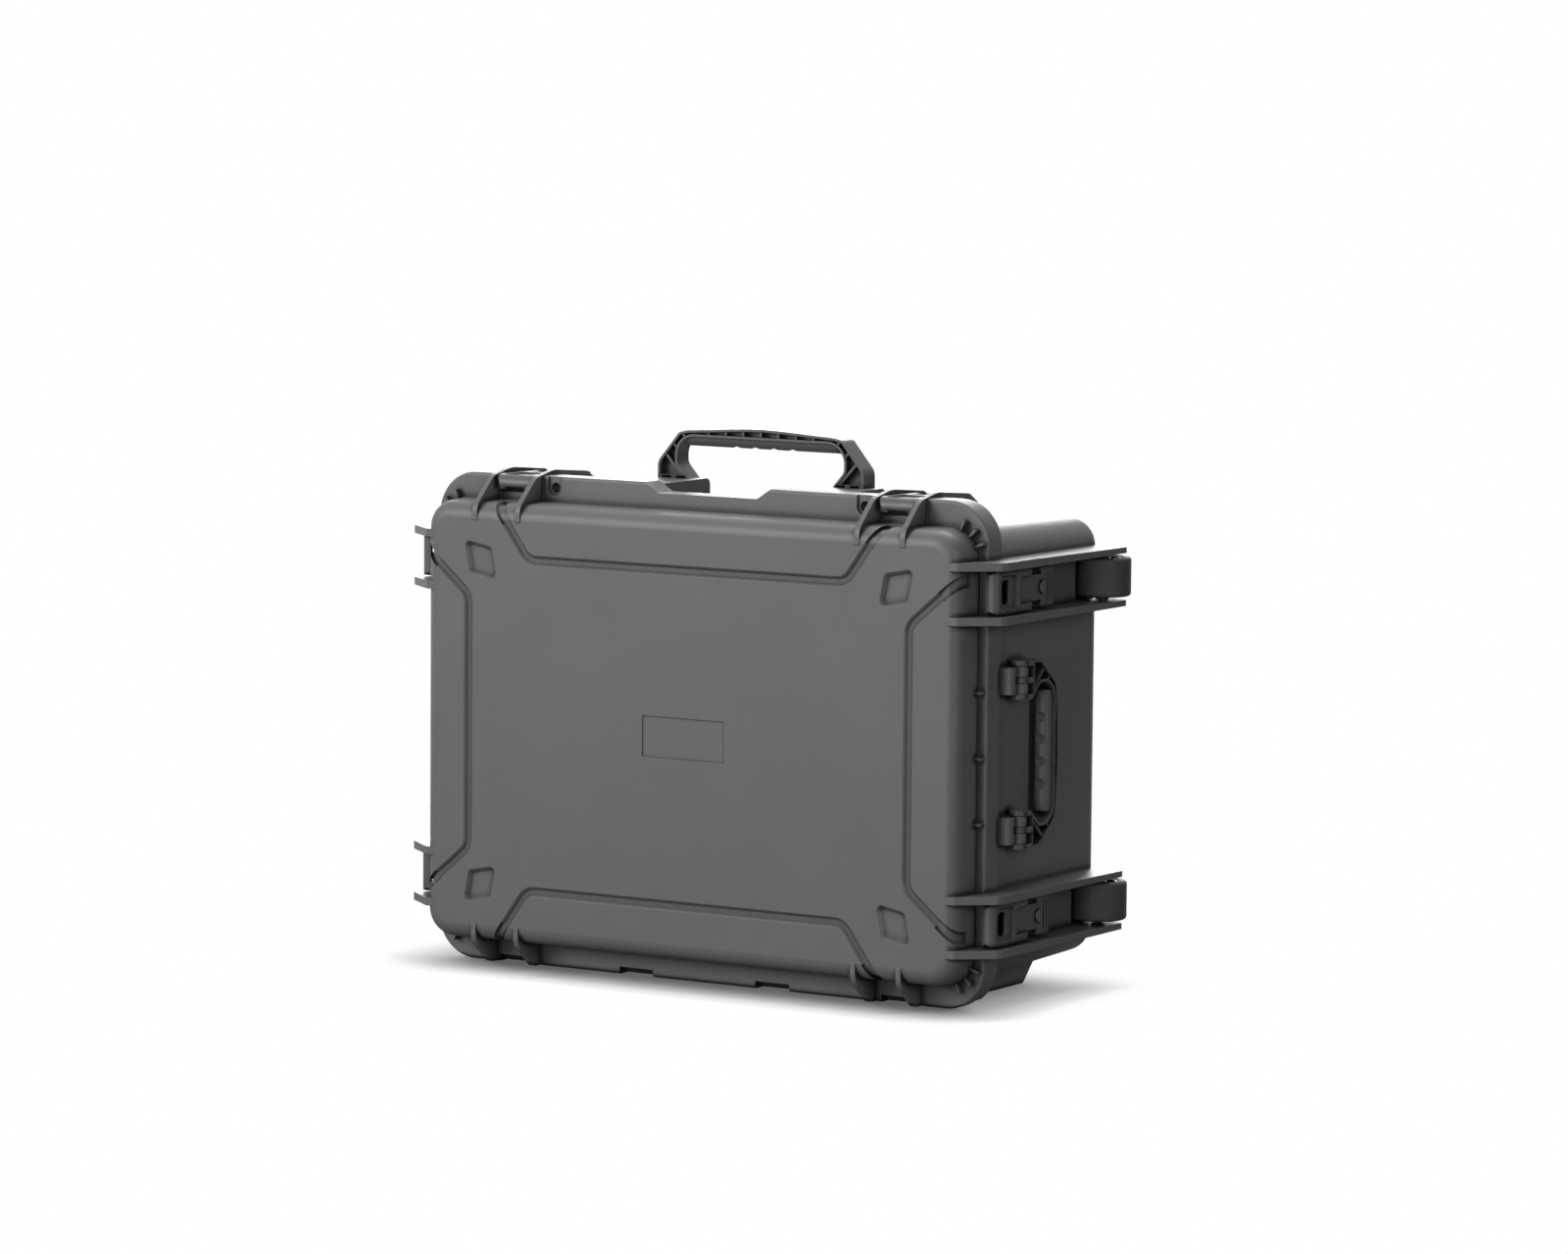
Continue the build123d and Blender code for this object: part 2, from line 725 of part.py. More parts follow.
# ------------------------------------------------------------------ hinge pins
def build_hinge_pins():
    reach = base_knuckle / 2 + hinge_side_gap + lid_knuckle - 1
    return [rod_x(hinge_pin_radius, x - reach, x + reach, 0, hinge_rise) for x in hinge_stations()]


# ------------------------------------------------------------------ latches, at the origin:
# x runs across the latch, y to its tab, z away from the case's wall
def latch_claw():
    inner_front = claw_front - claw_thick
    under = claw_rise - claw_thick
    outline = [(-claw_front + 2, claw_lip), (-claw_front, claw_lip + 4), (-claw_front, claw_rise),
               (claw_end, claw_rise), (claw_end, under), (-inner_front, under), (-inner_front, claw_lip)]
    plate = fin(outline, [1.2, 3, 8, 1.2, 1.2, 4, 0.8], 0, 2 * claw_half)
    cheeks = [(claw_end - 12, under + 1), (claw_end - 12, claw_rise), (link_y, claw_rise - 0.5),
              (link_y + 5, claw_rise - 3), (link_y + 5, link_rise - 4.5), (link_y - 8, link_rise - 4.5)]
    for sign in (-1, 1):
        x = sign * (claw_half - cheek_thick / 2)
        plate += fin(cheeks, [0, 0, 0, 4, 4, 3], x, cheek_thick)
    plan = [(-claw_half, -claw_front), (claw_half, -claw_front),
            (claw_half, link_y + 6), (-claw_half, link_y + 6)]
    plate &= extrude(rounded(plan, [3.5, 3.5, 0, 0]), amount=60)
    # sunk panel with a slot through it, and a notch in the lip
    panel = RectangleRounded(2 * claw_panel_half, claw_panel_rear - claw_panel_front, 5)
    sunk = extrude(panel, amount=-claw_panel_depth, taper=claw_panel_taper)
    plate -= Pos(0, (claw_panel_front + claw_panel_rear) / 2, claw_rise) * sunk
    half = claw_slot_half
    slot = block(-half, half, claw_slot_y - claw_slot_width / 2, claw_slot_y + claw_slot_width / 2,
                 under - 1, claw_rise)
    plate -= fillet(slot.edges().filter_by(Axis.Z), 5)
    plate -= block(-10, 10, -claw_front - 1, -inner_front + 1, claw_lip - 1, claw_lip + 2.4)
    plate -= rod_x(link_radius, -claw_half - 1, claw_half + 1, link_y, link_rise)
    return plate


def latch_lever():
    under = arm_under
    arm = [(pivot_y - 1, pivot_rise + 1), (arm_nose, arm_rise - 4), (arm_nose, arm_rise),
           (tab_end - 10, arm_rise), (tab_end - 10, arm_rise - tab_thick),
           (button_y + button_radius + 3.5, under), (link_y + 4, under), (pivot_y + 2, pivot_rise - 4)]
    body = fin(arm, [0, 0, 2.5, 0, 0, 1, 3, 0], 0, 2 * arm_half)
    body += rod_x(barrel_radius, -arm_half, arm_half, pivot_y, pivot_rise)
    crest = arm_rise + tab_crest
    tab = [(tab_start, crest), (tab_end - 5, crest), (tab_end, arm_rise - 1.5),
           (tab_end, arm_rise - tab_thick), (tab_start, arm_rise - tab_thick)]
    grip = fin(tab, [1, 5, 2, 1.2, 1], 0, 2 * tab_half)
    cut = tab_half - tab_corner
    plan = [(-tab_half, tab_start), (tab_half, tab_start), (tab_half, tab_end - tab_corner),
            (cut, tab_end), (-cut, tab_end), (-tab_half, tab_end - tab_corner)]
    grip &= extrude(rounded(plan, [0, 0, 1.5, 1.5, 1.5, 1.5]), amount=60)
    body += grip
    for step in range(3):
        y = tab_end - 4 - tab_groove_pitch * step
        body -= block(-tab_half + 4, tab_half - 4, y - 0.7, y + 0.7, crest - 0.9, crest + 3)
    bore = button_radius + slide_gap
    bore_floor = arm_rise + button_proud - button_height - button_travel - 0.5
    body -= rod_z(bore, bore_floor, arm_rise + 4, 0, button_y)
    body -= rod_x(pivot_radius + pin_gap, -arm_half - 1, arm_half + 1, pivot_y, pivot_rise)
    body -= rod_x(link_radius + pin_gap, -arm_half - 1, arm_half + 1, link_y, link_rise)
    return body


def latch_button():
    top = arm_rise + button_proud
    knob = rod_z(button_radius, top - button_height, top, 0, button_y)
    knob = fillet(knob.edges().sort_by(Axis.Z)[-1], 0.8)
    ball = (button_radius ** 2 / button_dish + button_dish) / 2
    return knob - Pos(0, button_y, top - button_dish + ball) * Sphere(ball)


def latch_link_pin():
    return rod_x(link_radius, -claw_half + 0.4, claw_half - 0.4, link_y, link_rise)


def latch_pivot_pin(gap):
    reach = gap / 2 + link_socket
    return rod_x(pivot_radius, -reach, reach, pivot_y, pivot_rise)


def latch_places():
    """Name, position and gap of each latch; the two of a side stand one above the other."""
    top = Pos(0, 0, centre_z + crown_top)
    yield "top_left", Pos(-top_latch_x, 0, 0) * top, top_pair_gap
    yield "top_right", Pos(top_latch_x, 0, 0) * top, top_pair_gap
    for name, z in (("upper", side_latch_z), ("lower", -side_latch_z)):
        yield "right_" + name, Pos(crown_side, 0, centre_z + z) * Rot(0, 90, 0), side_pair_gap
        yield "left_" + name, Pos(-crown_side, 0, centre_z + z) * Rot(0, -90, 0), side_pair_gap


# ------------------------------------------------------------------ grip handles, pivot on the x axis
def grip_handle(width):
    """Bow with an open channel front and back; z is its height above the pivot."""
    half = width / 2
    slope = handle_shoulder
    reach = handle_reach
    lower = reach - grip_height
    outer = [(half, 0), (half, reach - 33), (half - slope, reach - 6.5), (half - slope - 9, reach - 4.5)]
    inner = [(half - foot_span, 0), (half - foot_span, 5), (half - leg_width, 20), (half - leg_width, lower)]
    crown_points = [(-x, z) for x, z in reversed(outer)]
    left_inner = [(-x, z) for x, z in inner]
    points = outer + [(0, reach)] + crown_points + left_inner + list(reversed(inner))
    radii = [0, 12, 7, 30, 400] + [30, 7, 12, 0] + [0, 4, 8, inner_round] + [inner_round, 8, 4, 0]
    profile = rounded(points, radii)
    stand = Rot(90, 0, 0)
    body = stand * extrude(profile, amount=handle_depth / 2, both=True)

    # channels on both faces, with ribs left standing
    hollow = offset(profile, amount=-handle_rim, kind=Kind.INTERSECTION)
    channel = stand * extrude(hollow, amount=handle_depth, both=True)
    channel -= block(-half, half, -handle_web / 2, handle_web / 2, -1, reach)
    channel -= block(-half, half, -handle_depth * 2, handle_depth * 2, -20, knuckle_radius + 2)
    rib_face = handle_depth / 2 - grip_rib_recess
    count = round((width - 2 * leg_width - 46) / grip_rib_pitch)
    for step in range(count):
        x = (step - (count - 1) / 2) * grip_rib_pitch
        half_rib = grip_rib_thick / 2
        channel -= block(x - half_rib, x + half_rib, -rib_face, rib_face, lower - 3, reach)
    for sign in (-1, 1):
        for x, z, turn in ((half - 27, lower, 52), (half - 19, lower - 10, 45), (half - 15, 20, 47)):
            rib = block(-19, 19, -rib_face, rib_face, -grip_rib_thick / 2, grip_rib_thick / 2)
            channel -= Pos(sign * x, 0, z) * Rot(0, -sign * turn, 0) * rib
    body -= channel

    # half-round underside of the grip, with finger hollows
    length = width - 2 * leg_width - inner_round
    ellipse = Plane.YZ * Ellipse(handle_depth / 2 - bulge_inset, bulge_height)
    bulge = Pos(0, 0, lower) * extrude(ellipse, amount=length / 2, both=True)
    bulge -= block(-half, half, -handle_depth, handle_depth, lower + 0.5, lower + bulge_height + 1)
    drop = lower - bulge_height - scallop_radius + scallop_depth
    for step in range(4):
        x = (step - 1.5) * scallop_pitch
        bulge -= rod_y(scallop_radius, -handle_depth, handle_depth, x, drop)
    body += bulge

    # feet: three prongs that straddle two knuckles
    for sign in (-1, 1):
        x = sign * (half - foot_span / 2)
        body += rod_x(knuckle_radius, x - foot_span / 2, x + foot_span / 2, 0, 0)
        for shift in knuckle_offsets():
            reach_x = knuckle_width / 2 + knuckle_gap
            body -= block(x + shift - reach_x, x + shift + reach_x, -handle_depth, handle_depth,
                          -knuckle_radius - 1, knuckle_radius + 1.5)
        outer_end = middle_prong / 2 + 2 * knuckle_gap + knuckle_width
        body -= rod_x(handle_pin_radius + pin_gap, x - foot_span, x + foot_span, 0, 0)
        if outer_end > foot_span / 2:
            raise ValueError("the foot is too narrow for its knuckles")
    return body


def build_top_handle():
    return Pos(0, top_pivot_y, top_pivot_z) * grip_handle(handle_top_width)


def build_side_handle():
    """The side handle lies folded against the wall, pointing to the rear."""
    folded = Rot(0, 90, 0) * Rot(-90, 0, 0) * grip_handle(handle_side_width)
    return Pos(side_pivot_x, side_pivot_y, centre_z) * folded


def build_top_handle_pins():
    reach = foot_span / 2 + 7
    return [rod_x(handle_pin_radius, x - reach, x + reach, top_pivot_y, top_pivot_z) for x in top_feet()]


def build_side_handle_pins():
    reach = foot_span / 2
    return [rod_z(handle_pin_radius, z - reach, z + reach, side_pivot_x, side_pivot_y) for z in side_feet()]


# ------------------------------------------------------------------ wheels
def wheel_parts(z):
    half = wheel_width / 2
    tyre = rod_z(wheel_radius, z - half, z + half, wheel_x, wheel_y)
    tyre = fillet(tyre.edges().filter_by(GeomType.CIRCLE), 3)
    tyre -= rod_z(hub_radius, z - half - 1, z + half + 1, wheel_x, wheel_y)
    hub = rod_z(hub_radius, z - half + 1, z + half - 1, wheel_x, wheel_y)
    for sign in (-1, 1):
        face = z + sign * (half - 1)
        ring = rod_z(hub_radius - 3, face - sign * 6, face + sign, wheel_x, wheel_y)
        hub -= ring - rod_z(7, face - sign * 6, face + sign, wheel_x, wheel_y)
    boss = side_pair_gap / 2 + plate_thick / 2 - plate_end_thick / 2
    hub += rod_z(6, z - boss + 0.6, z + boss - 0.6, wheel_x, wheel_y)
    hub -= rod_z(axle_radius + pin_gap, z - 30, z + 30, wheel_x, wheel_y)
    return tyre, hub


def build_axles():
    reach = plate_spacing / 2 + plate_end_thick / 2
    return [rod_z(axle_radius, z - reach, z + reach, wheel_x, wheel_y)
            for z in (centre_z - side_latch_z, centre_z + side_latch_z)]


# ------------------------------------------------------------------ telescopic handle
def cover_screw_places():
    return [bay_right + 12, (bay_right + channel_right) / 2, channel_right + 4]


def screw_side(z):
    """Screws stand beside the channel, towards the middle of the case."""
    return (channel_width / 2 + 2.2) * (1 if z < centre_z else -1)


def rail(width, height, x0, x1, z):
    """Rectangular tube in a rear channel."""
    centre = base_depth - cover_thick - tube_gap - outer_tube_height / 2
    outer = block(x0, x1, centre - height / 2, centre + height / 2, z - width / 2, z + width / 2)
    outer = fillet(outer.edges().filter_by(Axis.X), 2)
    inner_w, inner_h = width / 2 - tube_wall, height / 2 - tube_wall
    return outer - block(x0 - 1, x1 + 1, centre - inner_h, centre + inner_h, z - inner_w, z + inner_w)


def rail_levels():
    return (centre_z - rail_z, centre_z + rail_z)


def stage_size(stage):
    """Outer size of each telescoping stage; stage 0 is fixed."""
    step = 2 * (tube_wall + tube_gap)
    return outer_tube_width - stage * step, outer_tube_height - stage * step


def build_stage(stage):
    width, height = stage_size(stage)
    start = (bay_right + 2, bay_right, grip_right - 2)[stage]
    end = bay_right + 2 + outer_tube_length - 2 * stage * tube_step
    end = min(end, channel_right - 2)
    tubes = [rail(width, height, start, end - stage * tube_step, z) for z in rail_levels()]
    return tubes


def build_rail_spacers():
    """Pads that seat each fixed tube on the floor of its channel."""
    floor = base_depth - channel_depth
    top = base_depth - cover_thick - tube_gap - outer_tube_height
    pads = []
    for z in rail_levels():
        for x in (bay_right + 20, channel_right - 20):
            pads.append(block(x - 8, x + 8, floor, top, z - channel_width / 2 + 1, z + channel_width / 2 - 1))
    return pads


def build_covers():
    covers = []
    for z in rail_levels():
        strip = block(bay_right, channel_right + 8, base_depth - cover_thick, base_depth,
                      z - cover_width / 2, z + cover_width / 2)
        for x in cover_screw_places():
            strip -= rod_y(screw_radius + 0.15, base_depth - 9, base_depth + 1, x, z + screw_side(z))
        covers.append(strip)
    return covers


def build_screws():
    screws = []
    for z in rail_levels():
        for x in cover_screw_places():
            level = z + screw_side(z)
            screw = rod_y(screw_radius, base_depth - 8, base_depth + 0.5, x, level)
            screw += rod_y(screw_head, base_depth, base_depth + 1.6, x, level)
            slot = block(x - 2, x + 2, base_depth + 0.9, base_depth + 2, level - 0.4, level + 0.4)
            screws.append(screw - slot)
    return screws


def build_pull_grip():
    grip = block(grip_left, grip_right, grip_front, grip_rear, centre_z - grip_half, centre_z + grip_half)
    grip = fillet(grip.edges(), 4)
    width, height = stage_size(2)
    centre = base_depth - cover_thick - tube_gap - outer_tube_height / 2
    for z in rail_levels():
        socket = block(grip_right - 2, grip_right + 1, centre - height / 2, centre + height / 2,
                       z - width / 2, z + width / 2)
        grip -= socket
    tall = release_height / 2 + slide_gap
    wide = release_half + slide_gap
    grip -= block(grip_left - 1, grip_left + release_depth + release_travel, centre - tall, centre + tall,
                  centre_z - wide, centre_z + wide)
    return grip


def build_release_button():
    centre = base_depth - cover_thick - tube_gap - outer_tube_height / 2
    knob = block(grip_left - 1.5, grip_left + release_depth - 1.5, centre - release_height / 2,
                 centre + release_height / 2, centre_z - release_half, centre_z + release_half)
    return fillet(knob.faces().sort_by(Axis.X)[0].edges(), 1.2)


# ------------------------------------------------------------------ foam lining
def build_foam_frame():
    """Ring of foam round the bay for the laptops."""
    side = base_side - wall - base_side_draft - foam_gap
    top = base_top - wall - base_top_draft - foam_gap
    outer = RectangleRounded(2 * side, 2 * top, base_corner - wall)
    ring = outer - RectangleRounded(bay_width, bay_height, 12)
    frame = to_base(Pos(0, 0, foam_front) * extrude(ring, amount=frame_rear - foam_front))
    well = wheel_radius + well_gap + well_wall + foam_gap
    for z in (centre_z - side_latch_z, centre_z + side_latch_z):
        half = side_pair_gap / 2 + plate_thick + foam_gap
        frame -= rod_z(well, z - half, z + half, wheel_x, wheel_y)
    return frame


def build_foam_floor():
    return block(pad_left, pad_right, frame_rear + 0.3, pad_rear, centre_z - pad_half, centre_z + pad_half)


def build_foam_lid():
    side = crown_side - wall - crown_draft - foam_gap - 6
    top = crown_top - wall - crown_draft - foam_gap - 6
    pad = extrude(RectangleRounded(2 * side, 2 * top, 16), amount=lid_depth - wall - foam_front - 0.3)
    return to_lid(Pos(0, 0, foam_front) * pad)


# ------------------------------------------------------------------ export
def save(name, shapes):
    solids = []
    for shape in shapes if isinstance(shapes, (list, tuple)) else [shapes]:
        solids.extend(shape.solids())
    made = Compound(children=solids) if len(solids) > 1 else solids[0]
    made.label = name
    export_step(made, "parts/" + name + ".step")


def main():
    os.makedirs("parts", exist_ok=True)
    save("lid_shell", build_lid())
    save("lid_seal", build_seal())
    save("base_shell", build_base())
    save("hinge_pins", build_hinge_pins())

    pivot_pins = []
    for name, place, gap in latch_places():
        save("latch_claw_" + name, place * latch_claw())
        save("latch_lever_" + name, place * latch_lever())
        save("latch_button_" + name, place * latch_button())
        save("latch_link_pin_" + name, place * latch_link_pin())
        pivot_pins.append(place * latch_pivot_pin(gap))
    save("latch_pivot_pins", pivot_pins)

    save("top_handle", build_top_handle())
    save("top_handle_pins", build_top_handle_pins())
    save("side_handle", build_side_handle())
    save("side_handle_pins", build_side_handle_pins())

    for name, z in (("upper", centre_z + side_latch_z), ("lower", centre_z - side_latch_z)):
        tyre, hub = wheel_parts(z)
        save("wheel_tyre_" + name, tyre)
        save("wheel_hub_" + name, hub)
    save("wheel_axles", build_axles())

    save("pull_rails_fixed", build_stage(0))
    save("pull_rails_middle", build_stage(1))
    save("pull_rails_inner", build_stage(2))
    save("pull_rail_spacers", build_rail_spacers())
    save("pull_rail_covers", build_covers())
    save("cover_screws", build_screws())
    save("pull_grip", build_pull_grip())
    save("pull_release_button", build_release_button())

    save("foam_frame", build_foam_frame())
    save("foam_floor", build_foam_floor())
    save("foam_lid", build_foam_lid())


main()
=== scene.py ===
import json
from math import cos, pi, radians, sin
import bmesh
import bpy
from mathutils import Matrix, Vector, noise


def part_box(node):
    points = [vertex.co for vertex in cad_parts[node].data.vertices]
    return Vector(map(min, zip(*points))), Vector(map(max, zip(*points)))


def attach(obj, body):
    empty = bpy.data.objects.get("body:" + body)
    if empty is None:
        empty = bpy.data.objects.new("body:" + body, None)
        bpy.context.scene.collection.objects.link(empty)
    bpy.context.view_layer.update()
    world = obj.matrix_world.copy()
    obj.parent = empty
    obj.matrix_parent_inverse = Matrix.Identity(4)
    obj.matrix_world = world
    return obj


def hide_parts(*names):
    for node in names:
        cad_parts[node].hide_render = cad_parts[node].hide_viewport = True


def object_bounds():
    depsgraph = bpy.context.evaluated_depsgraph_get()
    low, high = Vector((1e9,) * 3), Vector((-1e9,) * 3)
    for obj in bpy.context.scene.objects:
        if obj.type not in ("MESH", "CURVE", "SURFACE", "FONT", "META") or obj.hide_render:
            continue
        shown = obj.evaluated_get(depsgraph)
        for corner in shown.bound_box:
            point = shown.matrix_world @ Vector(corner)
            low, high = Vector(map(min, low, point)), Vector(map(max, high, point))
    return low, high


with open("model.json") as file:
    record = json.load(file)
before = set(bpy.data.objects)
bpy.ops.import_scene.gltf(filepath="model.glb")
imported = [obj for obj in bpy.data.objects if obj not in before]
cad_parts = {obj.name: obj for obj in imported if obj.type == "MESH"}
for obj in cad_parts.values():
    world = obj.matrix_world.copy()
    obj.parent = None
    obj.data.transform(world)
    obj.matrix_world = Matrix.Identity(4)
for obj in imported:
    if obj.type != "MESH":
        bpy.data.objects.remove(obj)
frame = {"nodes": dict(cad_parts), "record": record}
cad_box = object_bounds()
mm = 0.001

# ---------------------------------------------------------------- camera
# Angles in degrees, lengths in metres, lens and sensor in millimetres.
camera_azimuth = 31.731
camera_elevation = 5.993
camera_roll = 0.486
camera_distance = 5.4824
camera_aim = Vector((0.10139, -0.049, 0.32076))
camera_lens = 147.8
camera_sensor = 36
camera_reach = 60

azimuth = radians(camera_azimuth)
elevation = radians(camera_elevation)
roll = radians(camera_roll)
back = Vector((sin(azimuth) * cos(elevation), -cos(azimuth) * cos(elevation), sin(elevation)))
right = Vector((cos(azimuth), sin(azimuth), 0))
up = back.cross(right)
across = right * cos(roll) + up * sin(roll)
upright = up * cos(roll) - right * sin(roll)
camera = bpy.data.objects.new("camera", bpy.data.cameras.new("camera"))
camera.data.lens = camera_lens
camera.data.sensor_width = camera_sensor
camera.data.clip_end = camera_reach
stand = Matrix((across, upright, back)).transposed().to_4x4()
stand.translation = camera_aim + back * camera_distance
camera.matrix_world = stand
bpy.context.scene.collection.objects.link(camera)
bpy.context.scene.camera = camera


# ---------------------------------------------------------------- materials
def linear(hex_colour):
    """sRGB hex to a linear colour with alpha."""
    parts = [int(hex_colour[start:start + 2], 16) / 255 for start in (1, 3, 5)]
    return [part / 12.92 if part <= 0.04045 else ((part + 0.055) / 1.055) ** 2.4
            for part in parts] + [1]


def node(material, kind, inputs=(), **settings):
    """Adds a node; each input is given a value, or is linked when given another node's socket."""
    made = material.node_tree.nodes.new("ShaderNode" + kind)
    for name, value in settings.items():
        setattr(made, name, value)
    for name, value in dict(inputs).items():
        if isinstance(value, bpy.types.NodeSocket):
            material.node_tree.links.new(value, made.inputs[name])
        else:
            made.inputs[name].default_value = value
    return made


def start_material(name):
    """Empty material, with its output and the coordinates that its patterns use, in metres."""
    material = bpy.data.materials.new(name)
    material.use_nodes = True
    material.node_tree.nodes.clear()
    output = node(material, "OutputMaterial")
    place = node(material, "TexCoord").outputs["Object"]
    return material, output.inputs["Surface"], place


def per_metre(size_mm):
    """Scale of a pattern whose features are this many millimetres apart."""
    return 1000 / size_mm


# Most of a noise lies between these two values.
noise_low = 0.3
noise_high = 0.7

# What all the moulded plastics share, with lengths in millimetres. Flow clouds are broad and faint.
cloud_size = 70
cloud_strength = 0.12
# A painted highlight pales an arris where its rounded normal leaves the flat one. The first two
# are the cosines between them at which that starts and is full.
edge_highlight_start = 0.985
edge_highlight_full = 0.80
edge_highlight_strength = 0.45
# Painted shade darkens tight corners. The second and third are how open the corner is, from 0 to 1.
corner_shade_reach = 6.0
corner_shade_full = 0.72
corner_shade_start = 0.98
corner_shade_strength = 0.90
# Deep hollows get painted shade all over, in the same terms.
hollow_shade_reach = 40.0
hollow_shade_full = 0.20
hollow_shade_start = 0.76
hollow_shade_strength = 0.85
# the dark grey that the painted shade is mixed towards
painted_shade_colour = "#161616"
# The grain makes the roughness vary by this much, down and up.
grain_polish = 0.05
grain_dulling = 0.06
plastic_ior = 1.49


def moulded(name, colour, pale, roughness, grain_mm, grain_depth, edge_mm):
    """Injection-moulded plastic: a satin grain, flow clouds, a painted highlight on the arrises and
    painted shade in corners and hollows.
    """
    material, surface, place = start_material(name)
    clouds = node(material, "TexNoise", {"Vector": place, "Scale": per_metre(cloud_size),
                                         "Detail": 3.0, "Roughness": 0.55})
    grain = node(material, "TexNoise", {"Vector": place, "Scale": per_metre(grain_mm),
                                        "Detail": 4.0, "Roughness": 0.6})
    rounded = node(material, "Bevel", {"Radius": edge_mm * mm}, samples=4)
    flat = node(material, "NewGeometry").outputs["Normal"]
    facing = node(material, "VectorMath", {0: rounded.outputs["Normal"], 1: flat},
                  operation="DOT_PRODUCT")
    # painted highlight: the arris is paled where the rounded normal turns away from the flat one
    painted_edge_highlight = node(material, "MapRange", {"Value": facing.outputs["Value"],
                                       "From Min": edge_highlight_start, "From Max": edge_highlight_full,
                                       "To Min": 0.0, "To Max": edge_highlight_strength})
    tone = node(material, "MapRange", {"Value": clouds.outputs["Fac"],
                                       "From Min": noise_low, "From Max": noise_high,
                                       "To Min": 0.0, "To Max": cloud_strength})
    body = node(material, "Mix", {"Factor": tone.outputs["Result"], "A": linear(colour),
                                  "B": linear(pale)}, data_type="RGBA")
    highlighted_body = node(material, "Mix", {"Factor": painted_edge_highlight.outputs["Result"], "A": body.outputs["Result"],
                                  "B": linear(pale)}, data_type="RGBA")
    # painted shade: tight corners, grooves and joints between parts are darkened towards a dark
    # grey
    corner = node(material, "AmbientOcclusion", {"Distance": corner_shade_reach * mm}, samples=8)
    corner_painted_shade = node(material, "MapRange", {"Value": corner.outputs["AO"],
                                        "From Min": corner_shade_full, "From Max": corner_shade_start,
                                        "To Min": corner_shade_strength, "To Max": 0.0})
    # painted shade: deep hollows within the piece are darkened all over
    hollow = node(material, "AmbientOcclusion", {"Distance": hollow_shade_reach * mm}, samples=4,
                  only_local=True)
    hollow_painted_shade = node(material, "MapRange", {"Value": hollow.outputs["AO"],
                                       "From Min": hollow_shade_full, "From Max": hollow_shade_start,
                                       "To Min": hollow_shade_strength, "To Max": 0.0})
    # the stronger of the two painted shades is mixed into the colour
    painted_shade_amount = node(material, "Math", {0: corner_painted_shade.outputs["Result"], 1: hollow_painted_shade.outputs["Result"]},
               operation="MAXIMUM")
    shaded_body = node(material, "Mix", {"Factor": painted_shade_amount.outputs["Value"], "A": highlighted_body.outputs["Result"],
                                    "B": linear(painted_shade_colour)}, data_type="RGBA")
    sheen = node(material, "MapRange", {"Value": grain.outputs["Fac"],
                                        "From Min": noise_low, "From Max": noise_high,
                                        "To Min": roughness - grain_polish,
                                        "To Max": roughness + grain_dulling})
    bump = node(material, "Bump", {"Height": grain.outputs["Fac"],
                                   "Normal": rounded.outputs["Normal"],
                                   "Strength": 0.5, "Distance": grain_depth * mm})
    shader = node(material, "BsdfPrincipled", {"Base Color": shaded_body.outputs["Result"],
                                               "Roughness": sheen.outputs["Result"],
                                               "Normal": bump.outputs["Normal"],
                                               "IOR": plastic_ior})
    material.node_tree.links.new(shader.outputs["BSDF"], surface)
    return material


# Polypropylene copolymer, injection moulded in a spark-eroded tool: a dark neutral grey with a
# soft satin face, a fine leathery grain and a painted highlight on the arrises. The grain is 0.4 mm
# on the real one and is drawn at 0.9 mm so that it shows.
polypropylene_shell = moulded("polypropylene_moulded_shell", "#6b6b6c", "#868686", roughness=0.44,
                              grain_mm=0.9, grain_depth=0.06, edge_mm=0.9)
# Glass-filled nylon, moulded and tumbled: a slightly darker grey than the shell and a little
# smoother, so the small faces of the latches and handles catch the light.
nylon_latch = moulded("glass_filled_nylon_moulded_latch", "#5b5b5c", "#868686", roughness=0.40,
                      grain_mm=0.7, grain_depth=0.035, edge_mm=0.6)
nylon_handle = moulded("glass_filled_nylon_moulded_handle", "#5c5c5d", "#828282", roughness=0.42,
                       grain_mm=0.8, grain_depth=0.045, edge_mm=0.8)
# Acetal, moulded in a polished tool: slick, almost without grain and slightly paler than the
# lever round it.
acetal_button = moulded("acetal_moulded_button", "#686869", "#848484", roughness=0.30,
                        grain_mm=1.2, grain_depth=0.01, edge_mm=0.5)
# Nylon, moulded: the hubs are darker than the case and have a plain satin face.
nylon_wheel = moulded("nylon_moulded_wheel", "#4a4a4b", "#636363", roughness=0.42,
                      grain_mm=0.8, grain_depth=0.04, edge_mm=0.6)


# Dust lies in patches this many millimetres apart, where its noise is between the two values.
dust_size = 25
dust_start = 0.35
dust_full = 0.75
dust_strength = 0.6
rubber_ior = 1.52


def rubber(name, colour, pale, roughness, pore_mm, pore_depth):
    """Rubber: dull and dark with dusty pores."""
    material, surface, place = start_material(name)
    dust = node(material, "TexNoise", {"Vector": place, "Scale": per_metre(dust_size),
                                       "Detail": 5.0, "Roughness": 0.65})
    pores = node(material, "TexVoronoi", {"Vector": place, "Scale": per_metre(pore_mm)},
                 feature="F1")
    shade = node(material, "MapRange", {"Value": dust.outputs["Fac"],
                                        "From Min": dust_start, "From Max": dust_full,
                                        "To Min": 0.0, "To Max": dust_strength})
    body = node(material, "Mix", {"Factor": shade.outputs["Result"], "A": linear(colour),
                                  "B": linear(pale)}, data_type="RGBA")
    bump = node(material, "Bump", {"Height": pores.outputs["Distance"], "Strength": 0.6,
                                   "Distance": pore_depth * mm})
    shader = node(material, "BsdfPrincipled", {"Base Color": body.outputs["Result"],
                                               "Roughness": roughness,
                                               "Normal": bump.outputs["Normal"],
                                               "IOR": rubber_ior})
    material.node_tree.links.new(shader.outputs["BSDF"], surface)
    return material


